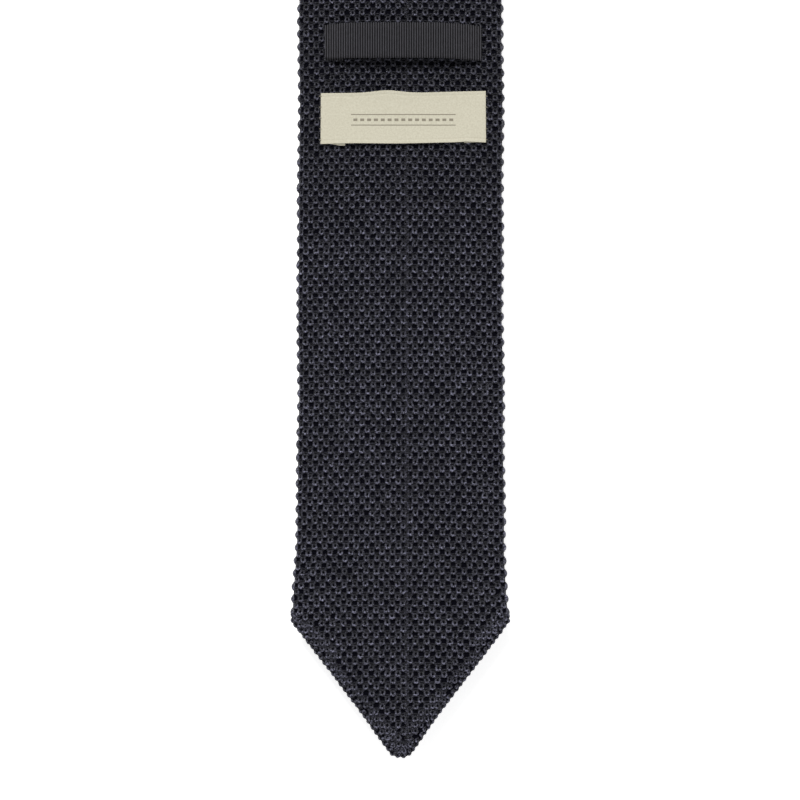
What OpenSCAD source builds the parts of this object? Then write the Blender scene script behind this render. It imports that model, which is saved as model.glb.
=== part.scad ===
// Knitted necktie with a pointed blade, folded in four with the back of the blade on top.
// The cloth is a flattened tube: a front layer whose edges turn over, and two back flaps
// that meet at a seam down the middle of the back.

/* [Tie] */
// Length of the whole tie, unfolded, without the few millimetres that the folds take up
tie_len = 1460; // [1420:5:1460]
// Width across the shoulders of the pointed blade
blade_w = 69.8; // [66:0.2:74]
// Width of the blade at the label
label_zone_w = 65.4; // [62:0.2:66]
// Width of the blade where it folds under
fold_w = 59.4; // [56:0.2:62]
// Width around the neck
neck_w = 37; // [34:0.5:40]
// Width across the shoulders of the tail
tail_w = 44; // [40:0.5:48]
// Rise of each point's edge for one unit of half width
point_slope = 1.31; // [1.1:0.01:1.5]
// Radius of the blade's tip
tip_r = 4.1; // [2.5:0.1:5]
// Radius of the blade's and tail's shoulders
shoulder_r = 2.5; // [2:0.5:5]

/* [Cloth] */
// Thickness of one layer of knit
cloth_t = 1.2; // [1:0.1:1.4]
// Space between the front layer and the back flaps
inner_gap = 0.6; // [0.5:0.1:0.8]
// Sideways place of the back seam
seam_x = 2; // [0:0.5:3]
// Width of the seam's chain of stitches
seam_w = 0.7; // [0.5:0.1:1]
// Width of the hem turned in along a point's edges
hem_w = 6; // [4:0.5:8]

/* [Folding] */
// Distance from the blade's tip to the first fold
fold_len = 396; // [390:1:400]
// Distance from the blade's tip back to the second fold
tip_overhang = 30; // [28:1:34]
// Free space between one folded layer and the next
layer_gap = 0.8; // [0.6:0.1:1.2]
// Distance from the blade's tip to the line where the blade lifts
lift_line = 266; // [260:1:280]

/* [Keeper] */
// Length of the ribbon loop across the blade
keeper_len = 50; // [46:0.5:52]
// Width of the ribbon
ribbon_w = 12; // [10:0.5:14]
// Thickness of the ribbon
ribbon_t = 0.5; // [0.4:0.1:0.6]
// Free height under the ribbon
keeper_gap = 4.6; // [4.4:0.1:5.2]
// Distance from the blade's tip to the middle of the ribbon
keeper_s = 228.7; // [224:0.1:232]

/* [Label] */
// Length of the woven label across the blade
label_len = 53; // [48:0.5:56]
// Height of the label along the blade
label_h = 16.2; // [14:0.1:18]
// Thickness of the label's cloth
label_t = 0.4; // [0.3:0.1:0.5]
// Distance from the blade's tip to the middle of the label
label_s = 204.4; // [200:0.1:206]
// Sideways place of the label and the keeper
trim_x = 0.9; // [0:0.1:2]

/* [Hidden] */
$fn = 48;

band_t = 2 * cloth_t + inner_gap;            // thickness of the flattened tube
pitch = band_t + layer_gap;                  // rise from one folded layer to the next
turn_in = layer_gap / 2;                     // inside radius of a fold
turn_out = turn_in + band_t;                 // outside radius of a fold
span = fold_len - tip_overhang;              // length of the second and third layers
whole_y = fold_len + turn_out;
tip_y = -whole_y / 2;                        // the blade's tip, with the origin under the middle
fold_y = tip_y + fold_len;                   // first and third folds
back_y = tip_y + tip_overhang;               // second fold
s_upper = fold_len;                          // where each layer starts, measured along the tie
s_neck = s_upper + span;
s_tail = s_neck + span;
edge_angle = atan(1 / point_slope);          // between a point's edge and the tie's length
clear = 0.1;                                 // between parts of one body that lie side by side
lift_slit = 0.3;                             // between the blade and the crown, which the lift bends
fold_slit = 0.15;                            // between a layer's end and its fold's axis
knit = [0.15, 0.155, 0.19];
thread = [0.1, 0.1, 0.13];
ribbon_black = [0.2, 0.2, 0.215];
cream = [0.82, 0.8, 0.72];

// Distance from a point's tip to the end of its shoulders, where its half width is w.
function shoulder_s(w) = tip_r + (shoulder_r - tip_r) / sin(edge_angle) + (w - shoulder_r) * point_slope;

blade_s = shoulder_s(blade_w / 2);
tail_s = tie_len - shoulder_s(tail_w / 2);
flare_len = 22;                              // the blade narrows quickly just above its shoulders
flare = 1.35;
even_s = 115;                                // and hardly at all from here to the lift line
neck_start = 700;                            // where the tie is down to the neck's width

// Half width against the distance along the tie, before the points are cut.
half_widths = [
    [blade_s, blade_w / 2], [blade_s + flare_len, blade_w / 2 - flare], [even_s, label_zone_w / 2 + 0.3],
    [lift_line, label_zone_w / 2], [fold_len, fold_w / 2], [neck_start, neck_w / 2],
    [s_tail, neck_w / 2], [tail_s, tail_w / 2]
];

function half_w(s) = lookup(s, half_widths);
function breaks(s0, s1) =
    concat([s0], [for (p = half_widths) if (p[0] > s0 && p[0] < s1) p[0]], [s1]);
function arc(cx, cy, r, a0, a1, n = 8) =
    [for (i = [0:n]) let (a = a0 + (a1 - a0) * i / n) [cx + r * cos(a), cy + r * sin(a)]];
function flip_x(points) = [for (i = [len(points) - 1:-1:0]) [-points[i][0], points[i][1]]];

// Right side of a straight stretch, drawn in by d.
function side(s0, s1, d) = [for (s = breaks(s0, s1)) [half_w(s) - d, s]];

// Right side of a pointed end with its tip at 0, drawn in by d: round at the tip and the shoulder, or
// with sharp corners once d is more than their radii.
function point_side(w, d) =
    let (a = edge_angle, apex = tip_r + (d - tip_r) / sin(a))
    d < shoulder_r
        ? concat(
            arc(0, tip_r, tip_r - d, -90, -a),
            arc(w - shoulder_r, shoulder_s(w), shoulder_r - d, -a, 0)
        )
        : [[0, apex], [w - d, apex + (w - d) * point_slope]];

// Outlines in the plane of the cloth, with s along Y.
function blade_right(s1, d) =
    concat(point_side(blade_w / 2, d), [for (p = side(blade_s, s1, d)) if (p[1] > blade_s + d) p]);
function tail_right(s0, d) =
    concat(
        [for (p = side(s0, tail_s, d)) if (p[1] < tail_s - d) p],
        [for (p = flip_x(point_side(tail_w / 2, d))) [-p[0], tie_len - p[1]]]
    );
function closed(right) = concat(right, flip_x(right));

// A flat piece of cloth from height n0 to n1 above the tie's front face.
module sheet(points, n0, n1) {
    translate([0, 0, n0]) linear_extrude(n1 - n0) polygon(points);
}

// The front layer with its edges turned up round the sides. inner is longer than outer where the layer goes on.
module front_layer(outer, inner) {
    sheet(outer, 0, cloth_t);
    difference() {
        sheet(outer, cloth_t, band_t);
        sheet(inner, cloth_t - 1, band_t + 1);
    }
}

// One back flap, on the side of the seam that dir says.
module back_flap(points, s0, s1, dir) {
    reach = blade_w;
    x0 = dir > 0 ? seam_x + seam_w / 2 : -reach;
    x1 = dir > 0 ? reach : seam_x - seam_w / 2;
    intersection() {
        sheet(points, cloth_t + inner_gap, band_t);
        translate([x0, s0, 0]) cube([x1 - x0, s1 - s0, band_t + 1]);
    }
}

// The chain of stitches that joins the flaps.
module seam(s0, s1) {
    w = seam_w - clear;
    translate([seam_x - w / 2, s0, cloth_t + inner_gap]) cube([w, s1 - s0, cloth_t]);
}

// The hem turned in along a point's edges, between the layers.
module hem(outer, inner, s0, s1) {
    intersection() {
        difference() {
            sheet(outer, cloth_t + clear, cloth_t + inner_gap - clear);
            sheet(inner, 0, band_t);
        }
        translate([-blade_w, s0, 0]) cube([2 * blade_w, s1 - s0, band_t]);
    }
}

// Frames of the four layers: the even ones lie with their back down.
module on_blade() { translate([0, tip_y, 3 * pitch]) children(); }
module on_upper() {
    translate([0, fold_y, 2 * pitch + band_t]) rotate([180, 0, 0]) translate([0, -s_upper, 0]) children();
}
module on_neck() { translate([0, back_y - s_neck, pitch]) children(); }
module on_tail() {
    translate([0, fold_y, band_t]) rotate([180, 0, 0]) translate([0, -s_tail, 0]) children();
}

// Half a roll of one cloth layer between radii r0 and r1 round a fold's axis. dir is +1 where it bulges along +Y.
module turn(y, z, w, r0, r1, dir) {
    translate([0, y, z]) intersection() {
        rotate([0, 90, 0]) difference() {
            cylinder(r = r1, h = 2 * w, center = true);
            cylinder(r = r0, h = 2 * w + 2, center = true);
        }
        translate([-w - 1, dir > 0 ? 0 : -2 * r1, -r1 - 1]) cube([2 * w + 2, 2 * r1, 2 * r1 + 2]);
    }
}
turn_inner = [turn_in, turn_in + cloth_t];
turn_outer = [turn_out - cloth_t, turn_out];
first_turn_z = 3 * pitch - turn_in;
second_turn_z = 2 * pitch - turn_in;
third_turn_z = pitch - turn_in;

// The blade, from its tip to the line where it lifts.
module blade_front() color(knit) on_blade()
    front_layer(closed(blade_right(lift_line, 0)), closed(blade_right(lift_line + 1, cloth_t)));
module blade_flap(dir) color(knit) on_blade()
    back_flap(closed(blade_right(lift_line, cloth_t + clear)), 0, lift_line, dir);
module blade_seam() color(thread) on_blade() seam(2 * tip_r, lift_line);
module blade_tip_hem() color(knit) on_blade()
    hem(closed(blade_right(lift_line, cloth_t + clear)), closed(blade_right(lift_line, cloth_t + hem_w)),
        0, blade_s + 2 * hem_w);

// The label, its ends folded under, and the threads that hold it.
label_n = band_t;
flap_len = 8;
flap_peek = 0.6;
module label() color(cream) on_blade()
    translate([trim_x - label_len / 2, label_s - label_h / 2, label_n + label_t + 0.02])
        cube([label_len, label_h, label_t]);
module label_end_flaps() color(cream) on_blade()
    for (side = [-1, 1])
        translate([trim_x + side * (label_len - flap_len) / 2, label_s - flap_peek, label_n + 0.01 + label_t / 2])
            cube([flap_len, label_h - flap_peek, label_t], center = true);
module label_stitches() color(cream) on_blade()
    for (side = [-1, 1], i = [-2:2])
        translate([trim_x + side * (label_len / 2 - 1.2), label_s + i * 3.2, label_n + 2 * label_t + 0.12])
            cube([0.35, 1.8, 0.16], center = true);

// The ribbon loop that holds the tail, its tucked ends and their stitches.
tuck_t = 0.26;                               // thickness of a ribbon end folded under
keeper_foot = band_t + tuck_t + 0.04;        // underside of the loop's sewn feet
corner_r = 2;
tuck_len = 6;

// The loop's outline seen along the tie, drawn in by d and standing on its feet.
module ribbon_path(d) {
    w = keeper_len / 2;
    top = keeper_gap + 2 * ribbon_t;
    polygon(concat(
        [[w - d, d]],
        arc(w - corner_r, top - corner_r, corner_r - d, 0, 90, 6),
        arc(-w + corner_r, top - corner_r, corner_r - d, 90, 180, 6),
        [[-w + d, d]]
    ));
}
module keeper_loop() color(ribbon_black) on_blade()
    translate([trim_x, keeper_s + ribbon_w / 2, keeper_foot]) rotate([90, 0, 0]) linear_extrude(ribbon_w)
        difference() {
            ribbon_path(0);
            ribbon_path(ribbon_t);
            square([keeper_len - 2 * tuck_len, 2 * ribbon_t + 0.02], center = true);
        }
module keeper_end_tucks() color(ribbon_black) on_blade()
    for (side = [-1, 1])
        translate([trim_x + side * (keeper_len - tuck_len) / 2, keeper_s, band_t + 0.02 + tuck_t / 2])
            cube([tuck_len, ribbon_w - 0.4, tuck_t], center = true);
module keeper_stitches() color(thread) on_blade()
    for (side = [-1, 1], i = [-2:2])
        translate([trim_x + side * (keeper_len / 2 - 1.3), keeper_s + i * 2.4, keeper_foot + ribbon_t + 0.1])
            cube([0.3, 1.5, 0.16], center = true);

// The crown, from the lift line to the first fold.
crown_s0 = lift_line + lift_slit;
crown_s1 = fold_len - fold_slit;
module crown_front() color(knit) on_blade()
    front_layer(closed(side(crown_s0, crown_s1, 0)), closed(side(crown_s0 - 1, crown_s1 + 1, cloth_t)));
module crown_flap(dir) color(knit) on_blade()
    back_flap(closed(side(crown_s0, crown_s1, cloth_t + clear)), crown_s0, crown_s1, dir);
module crown_seam() color(thread) on_blade() seam(crown_s0, crown_s1);

// The upper layer, from the first fold to the second.
upper_s0 = s_upper + fold_slit;
upper_s1 = s_neck - fold_slit;
module upper_front() color(knit) on_upper()
    front_layer(closed(side(upper_s0, upper_s1, 0)), closed(side(upper_s0 - 1, upper_s1 + 1, cloth_t)));
module upper_flap(dir) color(knit) on_upper()
    back_flap(closed(side(upper_s0, upper_s1, cloth_t + clear)), upper_s0, upper_s1, dir);
module upper_seam() color(thread) on_upper() seam(upper_s0, upper_s1);

// The neck layer, from the second fold to the third.
neck_s0 = s_neck + fold_slit;
neck_s1 = s_tail - fold_slit;
module neck_front() color(knit) on_neck()
    front_layer(closed(side(neck_s0, neck_s1, 0)), closed(side(neck_s0 - 1, neck_s1 + 1, cloth_t)));
module neck_flap(dir) color(knit) on_neck()
    back_flap(closed(side(neck_s0, neck_s1, cloth_t + clear)), neck_s0, neck_s1, dir);
module neck_seam() color(thread) on_neck() seam(neck_s0, neck_s1);

// The tail, from the third fold to its own point.
tail_s0 = s_tail + fold_slit;
module tail_front() color(knit) on_tail()
    front_layer(closed(tail_right(tail_s0, 0)), closed(tail_right(tail_s0 - 1, cloth_t)));
module tail_flap(dir) color(knit) on_tail()
    back_flap(closed(tail_right(tail_s0, cloth_t + clear)), tail_s0, tie_len, dir);
module tail_seam() color(thread) on_tail() seam(tail_s0, tie_len - 2 * tip_r);
module tail_tip_hem() color(knit) on_tail()
    hem(closed(tail_right(tail_s0, cloth_t + clear)), closed(tail_right(tail_s0, cloth_t + hem_w)),
        tail_s - 2 * hem_w, tie_len);

blade_front();
blade_flap(-1);  // blade_back_left
blade_flap(1);  // blade_back_right
blade_seam();
blade_tip_hem();
label();
label_end_flaps();
label_stitches();
keeper_loop();
keeper_end_tucks();
keeper_stitches();
crown_front();
crown_flap(-1);  // crown_back_left
crown_flap(1);  // crown_back_right
crown_seam();
color(knit) turn(fold_y, first_turn_z, half_w(s_upper), turn_inner[0], turn_inner[1], 1);  // first_turn_front
color(knit) turn(fold_y, first_turn_z, half_w(s_upper), turn_outer[0], turn_outer[1], 1);  // first_turn_back
upper_front();
upper_flap(-1);  // upper_back_left
upper_flap(1);  // upper_back_right
upper_seam();
color(knit) turn(back_y, second_turn_z, half_w(s_neck), turn_outer[0], turn_outer[1], -1);  // second_turn_front
color(knit) turn(back_y, second_turn_z, half_w(s_neck), turn_inner[0], turn_inner[1], -1);  // second_turn_back
neck_front();
neck_flap(-1);  // neck_back_left
neck_flap(1);  // neck_back_right
neck_seam();
color(knit) turn(fold_y, third_turn_z, half_w(s_tail), turn_inner[0], turn_inner[1], 1);  // third_turn_front
color(knit) turn(fold_y, third_turn_z, half_w(s_tail), turn_outer[0], turn_outer[1], 1);  // third_turn_back
tail_front();
tail_flap(-1);  // tail_back_left
tail_flap(1);  // tail_back_right
tail_seam();
tail_tip_hem();
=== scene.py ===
import math

import bpy
import numpy as np
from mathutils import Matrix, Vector


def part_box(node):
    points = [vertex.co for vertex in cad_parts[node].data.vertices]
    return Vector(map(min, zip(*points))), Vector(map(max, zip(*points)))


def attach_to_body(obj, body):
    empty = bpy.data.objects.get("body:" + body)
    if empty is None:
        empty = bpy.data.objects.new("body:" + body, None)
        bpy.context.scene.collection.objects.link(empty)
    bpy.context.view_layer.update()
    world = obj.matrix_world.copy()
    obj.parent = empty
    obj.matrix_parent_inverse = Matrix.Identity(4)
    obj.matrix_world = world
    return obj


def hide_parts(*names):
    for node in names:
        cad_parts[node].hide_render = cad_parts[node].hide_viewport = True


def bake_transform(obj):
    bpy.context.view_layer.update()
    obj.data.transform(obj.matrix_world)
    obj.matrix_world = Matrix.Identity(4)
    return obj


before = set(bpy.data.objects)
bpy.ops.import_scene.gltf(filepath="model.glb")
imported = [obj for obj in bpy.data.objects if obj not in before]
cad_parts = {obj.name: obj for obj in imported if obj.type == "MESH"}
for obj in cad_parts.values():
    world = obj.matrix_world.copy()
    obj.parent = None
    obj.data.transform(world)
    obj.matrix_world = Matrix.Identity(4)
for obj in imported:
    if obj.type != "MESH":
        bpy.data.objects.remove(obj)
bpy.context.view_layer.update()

# ---------------------------------------------------------------- sizes

MM = 0.001
WALE = 1.69 * MM        # from one column of loops to the next
COURSE = 4.13 * MM      # from one loop to the next in a column; the columns alternate by half of it
YARN_R = 0.42 * MM      # radius of the yarn
LOOP_A = 0.66 * MM      # a loop's half width, to the yarn's middle
LOOP_B = 0.76 * MM      # and its half height
LOBE_A = 0.80 * MM      # half width of the loop that makes a lobe of a folded side
LOBE_B = 1.50 * MM      # and its half length
LOBE_DROP = 0.62 * MM   # its ends lie this much deeper than its middle
LOOP_TILT = 0.26 * MM   # the loop's lower rim stands this much higher than its middle
LEG_DROP = 0.46 * MM    # the yarn that joins two loops lies this much deeper than they do
CAP_R = 0.32 * MM       # radius of the yarn that arches over a loop
CAP_DROP = 0.44 * MM    # and it lies this much deeper than the loop
GROUND_DEPTH = 1.02 * MM    # the ground of the knit lies this far below the tops of the loops
GROUND_EDGE = 0.2 * MM      # and this far inside the cloth's edges
GROUND_RIM = 1.0 * MM       # its sides are rounded over this width
SCALLOP = 0.85 * MM     # depth of the notches between the lobes along the folded sides
LOBE_OUT = 0.80 * MM    # the lobes stand this far outside the cloth's plain edge
POINT_OUT = 0.35 * MM   # a point's rolled edges stand this far outside its plain outline
POINT_BUMP = 0.30 * MM  # and the bumps along them this much further
SEAM_GAP = 1.0 * MM     # from the seam's middle to the nearest column's middle
SEAM_PITCH = 1.35 * MM  # from one seam stitch to the next
SEAM_OFF = 0.30 * MM    # the seam's two columns stand this far to either side
SEAM_START = 4 * MM     # the seam begins this far above a point's tip
EDGE_PITCH = 2.15 * MM  # from one loop to the next along the edges of a point
SHOULDER_REACH = 2.0 * MM   # the rim of a point runs this far up its sides
TIP_OUT = 0.6 * MM      # the sewn tip bulges this much further still
TIP_REACH = 9.0 * MM    # and the bulge fades over this length
RIM_ROW = 1.7 * MM      # from one row of loops to the next round the rim of a point
EDGE_CLEAR = 1.15 * MM  # the lattice of loops keeps this far inside a point's edges
EDGE_DENSE = 4.0 * MM   # and has no pits nearer to them than this
SEAM_TRIM = 0.1         # round a fold the seam stops this many radians short of the layers
CORNER_REACH = 8 * MM   # round a point's corners its rim has a second row of loops this far
BEND_ABOVE = 6 * MM     # the blade bends from this far above the lift line
BEND_BELOW = 30 * MM    # to this far below it
ROW_DROOP = 0.7 * MM    # the rows sink this much from the middle to the edges
PAINTED_SHADE_REACH = 38 * MM     # painted shade: the knit is painted darker this far round the keeper and the label
PAINTED_SHADE_SHARE = 0.46        # and by this share
PLAIN_PAINTED_LIGHT = 1.15       # painted light: the plainer loops have no caps and coarser tubes and look darker, so their yarn is painted this much lighter

CAMERA_HEIGHT = 1.0     # from the blade's back to the camera
CAMERA_LENS = 140.0     # in the lens's own millimetres
CAMERA_REACH = 114.3 * MM   # from the blade's tip to the point under the camera
CAMERA_SIDE = -0.16 * MM    # and from the tie's middle
FLOOR_DROP = 0.4 * MM       # the floor lies this far below the CAD's lowest face


# ---------------------------------------------------------------- the tie's stretches

def box_of(nodes):
    """Lowest and highest corner of several CAD nodes."""
    boxes = [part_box(n) for n in nodes]
    low = [min(b[0][i] for b in boxes) for i in range(3)]
    high = [max(b[1][i] for b in boxes) for i in range(3)]
    return low, high


def outline_of(nodes, z):
    """Half width of flat CAD nodes against y, from the corners of their face at height z."""
    widest = {}
    for n in nodes:
        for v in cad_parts[n].data.vertices:
            if abs(v.co.z - z) < 0.01 * MM:
                y = round(v.co.y, 6)
                widest[y] = max(widest.get(y, 0.0), v.co.x)
    points = sorted(widest.items())
    return np.array([p[0] for p in points]), np.array([p[1] for p in points])


class Flat:
    """A flat stretch of the tie. Its along coordinate is y, and n is measured from mid-thickness towards
    the back."""

    along_unit = 1.0
    step = COURSE
    row0 = 0.0

    def __init__(self, nodes, back_up, pointed=False):
        low, high = box_of(nodes)
        self.start, self.end = low[1], high[1]
        self.r = (high[2] - low[2]) / 2
        self.mid = (high[2] + low[2]) / 2
        self.up = 1 if back_up else -1
        self.ys, self.xs = outline_of(nodes, low[2] if back_up else high[2])
        self.usual = float(np.interp(self.start + 0.4 * (self.end - self.start), self.ys, self.xs))
        self.pointed = pointed
        self.shoulder = self.ys[int(np.argmax(self.xs))] if pointed else self.start

    def outline(self, y):
        return np.interp(y, self.ys, self.xs)

    def half(self, y):
        """Half width that the columns follow: below a point's shoulders they run straight on."""
        return self.outline(np.maximum(y, self.shoulder))

    def place(self, x, y, n):
        """A point of the stretch, on cloth that sways and swells a little."""
        sway = 0.12 * MM * np.sin(y * 61 + 1.0) + 0.10 * MM * np.sin(y * 143 + 0.4)
        swell = 0.10 * MM * np.sin(y * 47 + x * 60) + 0.06 * MM * np.sin(x * 190 - y * 90)
        return np.stack([x + sway, y, self.mid + self.up * (n + self.up * swell)], axis=-1)


class Turn:
    """A half-round turn at a fold. Its along coordinate is the angle from the top, and step and row0 carry
    the rows of loops on from one layer to the next."""

    pointed = False

    def __init__(self, nodes, flat, back_outside, bulge):
        low, high = box_of(nodes)
        self.r = flat.r
        self.out = 1 if back_outside else -1
        self.bulge = bulge
        self.y = low[1] if bulge > 0 else high[1]
        self.z = (low[2] + high[2]) / 2
        self.outer = (high[2] - low[2]) / 2
        self.radius = self.outer - self.r
        self.w = self.usual = high[0]
        self.start, self.end = 0.0, math.pi
        self.along_unit = 1 / self.outer
        rows_to_fold = int(abs(self.y) / (COURSE / 2))
        spare = abs(self.y) - rows_to_fold * COURSE / 2
        length = math.pi * self.outer + 2 * spare
        self.step = length / round(length / COURSE) * self.along_unit
        self.row0 = rows_to_fold % 2 * self.step / 2 - spare * self.along_unit

    def half(self, angle):
        return np.full_like(angle, self.w)

    def place(self, x, angle, n):
        radius = self.radius + self.out * n
        y = self.y + self.bulge * radius * np.sin(angle)
        z = self.z + radius * np.cos(angle)
        return np.stack([x + 0 * angle, y, z], axis=-1)


def round_to_side(stretch, half):
    """How far round the flattened tube its folded side is, from the middle of the back."""
    return half - stretch.r + math.pi / 2 * stretch.r


def surface(stretch, p, along, h):
    """A point of the flattened tube: p is measured round it from the middle of the back, and h outwards."""
    r = stretch.r
    flat = stretch.half(along) - r
    size = np.abs(p)
    turn = np.clip((size - flat) / r, 0, math.pi)
    droop = ROW_DROOP * stretch.along_unit
    notch = 1 - np.abs(np.cos(math.pi * (along + droop - stretch.row0) / stretch.step)) ** 0.8
    on_edge = flat + (r + h + (LOBE_OUT - SCALLOP * notch) * np.sin(turn) ** 3) * np.sin(turn)
    on_front = 2 * flat + math.pi * r - size
    x = np.where(size < flat, size, np.where(size < flat + math.pi * r, on_edge, on_front))
    return stretch.place(np.sign(p) * x, along, (r + h) * np.cos(turn))


# ---------------------------------------------------------------- mesh helpers

def make_mesh(name, points, quads, maps=(), values=()):
    """An object from points and four-cornered faces. maps are UV layers by corner, and values are numbers
    by point."""
    me = bpy.data.meshes.new(name)
    me.vertices.add(len(points))
    me.vertices.foreach_set("co", np.ascontiguousarray(points, np.float32).ravel())
    me.loops.add(quads.size)
    me.loops.foreach_set("vertex_index", np.ascontiguousarray(quads, np.int32).ravel())
    me.polygons.add(len(quads))
    me.polygons.foreach_set("loop_start", np.arange(0, quads.size, 4, dtype=np.int32))
    me.update(calc_edges=True)
    for map_name, corners in maps:
        layer = me.uv_layers.new(name=map_name)
        layer.data.foreach_set("uv", np.ascontiguousarray(corners, np.float32).ravel())
    for value_name, numbers in values:
        attribute = me.attributes.new(value_name, "FLOAT", "POINT")
        attribute.data.foreach_set("value", np.ascontiguousarray(numbers, np.float32).ravel())
    me.shade_smooth()
    ob = bpy.data.objects.new(name, me)
    bpy.context.collection.objects.link(ob)
    return ob


def grid_quads(rows, cols, wrap=False, flip=False):
    """Faces of a grid of rows by cols points, stored row by row. wrap joins the last column to the first."""
    r = np.arange(rows - 1)[:, None]
    c = np.arange(cols if wrap else cols - 1)[None, :]
    a = r * cols + c
    b = r * cols + (c + 1) % cols
    quads = np.stack([a, b, b + cols, a + cols], axis=-1).reshape(-1, 4)
    return quads[:, ::-1] if flip else quads


def capped_quads(rows, ring):
    """Faces of a tube of rows rings of points, closed at both ends by faces across the ring."""
    c = np.arange(ring // 2 - 1)
    first = np.stack([c, ring - 1 - c, ring - 2 - c, c + 1], axis=-1)
    last = (rows - 1) * ring + np.stack([c + 1, ring - 2 - c, ring - 1 - c, c], axis=-1)
    return np.concatenate([grid_quads(rows, ring, wrap=True), first, last])


def tube_template(line, radii, sides, closed):
    """A round tube along line (points across, along, height), as points, quads and corner maps that run
    from 0 to 1."""
    line = np.array(line, float)
    count = len(line)
    if closed:
        ahead = np.roll(line, -1, axis=0) - np.roll(line, 1, axis=0)
    else:
        ahead = np.gradient(line, axis=0)
    ahead /= np.linalg.norm(ahead, axis=1)[:, None]
    across = np.cross(ahead, [0, 0, 1.0])
    across /= np.linalg.norm(across, axis=1)[:, None]
    upward = np.cross(across, ahead)
    turn = 2 * math.pi * np.arange(sides) / sides
    cos, sin = np.cos(turn)[None, :, None], np.sin(turn)[None, :, None]
    rim = across[:, None] * cos + upward[:, None] * sin
    points = line[:, None] + rim * np.array(radii)[:, None, None]
    steps = count if closed else count - 1
    i = np.arange(steps)[:, None]
    j = np.arange(sides)[None, :]
    after, beside = (i + 1) % count, (j + 1) % sides
    quads = np.stack([i * sides + j, after * sides + j, after * sides + beside, i * sides + beside], axis=-1)
    u = np.stack([i + 0 * j, i + 1 + 0 * j, i + 1 + 0 * j, i + 0 * j], axis=-1) / steps
    v = np.stack([j + 0 * i, j + 0 * i, j + 1 + 0 * i, j + 1 + 0 * i], axis=-1) / sides
    return points.reshape(-1, 3), quads.reshape(-1, 4), np.stack([u, v], axis=-1).reshape(-1, 4, 2)


def loop_template(segments, sides):
    """One loop of yarn: a round ring that narrows towards its top and whose lower rim stands proud."""
    a = 2 * math.pi * np.arange(segments) / segments - math.pi / 2
    line = np.stack([
        LOOP_A * np.cos(a) * (1 - 0.16 * np.sin(a)),
        LOOP_B * np.sin(a),
        -YARN_R - LOOP_TILT * (1 + np.sin(a)),
    ], axis=-1)
    return tube_template(line, YARN_R * (1 - 0.08 * np.sin(a)), sides, closed=True)


def leg_template(side, steps, sides):
    """The yarn that runs from a loop's shoulder to the loop above it, on the side that side says."""
    t = np.linspace(0.2, 0.8, steps + 1)
    line = np.stack([
        side * WALE * t,
        COURSE / 2 * t,
        -YARN_R - LEG_DROP + 0.10 * MM * np.sin(math.pi * (t - 0.2) / 0.6),
    ], axis=-1)
    return tube_template(line, np.full(steps + 1, YARN_R), sides, closed=False)


def cap_template(steps, sides):
    """The yarn that arches over a loop's top, at the lower edge of the pit above it."""
    t = np.linspace(-1, 1, steps + 1)
    line = np.stack([
        0.62 * WALE * t,
        LOOP_B + YARN_R + (0.10 + 0.24 * (1 - t ** 2)) * MM,
        -YARN_R - CAP_DROP - 0.10 * MM * t ** 2,
    ], axis=-1)
    return tube_template(line, np.full(steps + 1, CAP_R), sides, closed=False)


def lobe_template():
    """The long loop that rounds off one lobe of the cloth's folded side, and the yarn inside it."""
    a = 2 * math.pi * np.arange(14) / 14
    ring = np.stack([LOBE_A * np.cos(a), LOBE_B * np.sin(a), -YARN_R - LOBE_DROP * np.sin(a) ** 2], axis=-1)
    t = np.linspace(-1, 1, 6)
    core = np.stack([0 * t, 0.75 * LOBE_B * t, -YARN_R - 0.1 * MM - 0.56 * LOBE_DROP * t ** 2], axis=-1)
    return [tube_template(ring, np.full(14, YARN_R), 6, closed=True),
            tube_template(core, np.full(6, 0.8 * YARN_R), 6, closed=False)]


def stitch_template(kind):
    """The parts of one stitch: "fine" is a loop with its legs and cap, "plain" a coarser loop with its legs,
    "bare" is a loop alone, and "lobe" stands at a folded side."""
    if kind == "fine":
        parts = [loop_template(12, 6), leg_template(1, 3, 6), leg_template(-1, 3, 6), cap_template(3, 5)]
    elif kind == "plain":
        parts = [loop_template(9, 4), leg_template(1, 1, 4), leg_template(-1, 1, 4)]
    elif kind == "bare":
        parts = [loop_template(10, 5)]
    else:
        parts = lobe_template()
    points, quads, corners, base = [], [], [], 0
    for i, (p, q, c) in enumerate(parts):
        points.append(p)
        quads.append(q + base)
        cell = c * [1.0, 0.56] if i == 0 else c * [0.31, 0.38] + [0.335 * (i - 1), 0.6]
        corners.append(cell)
        base += len(p)
    return np.concatenate(points), np.concatenate(quads), np.concatenate(corners), parts


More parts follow.
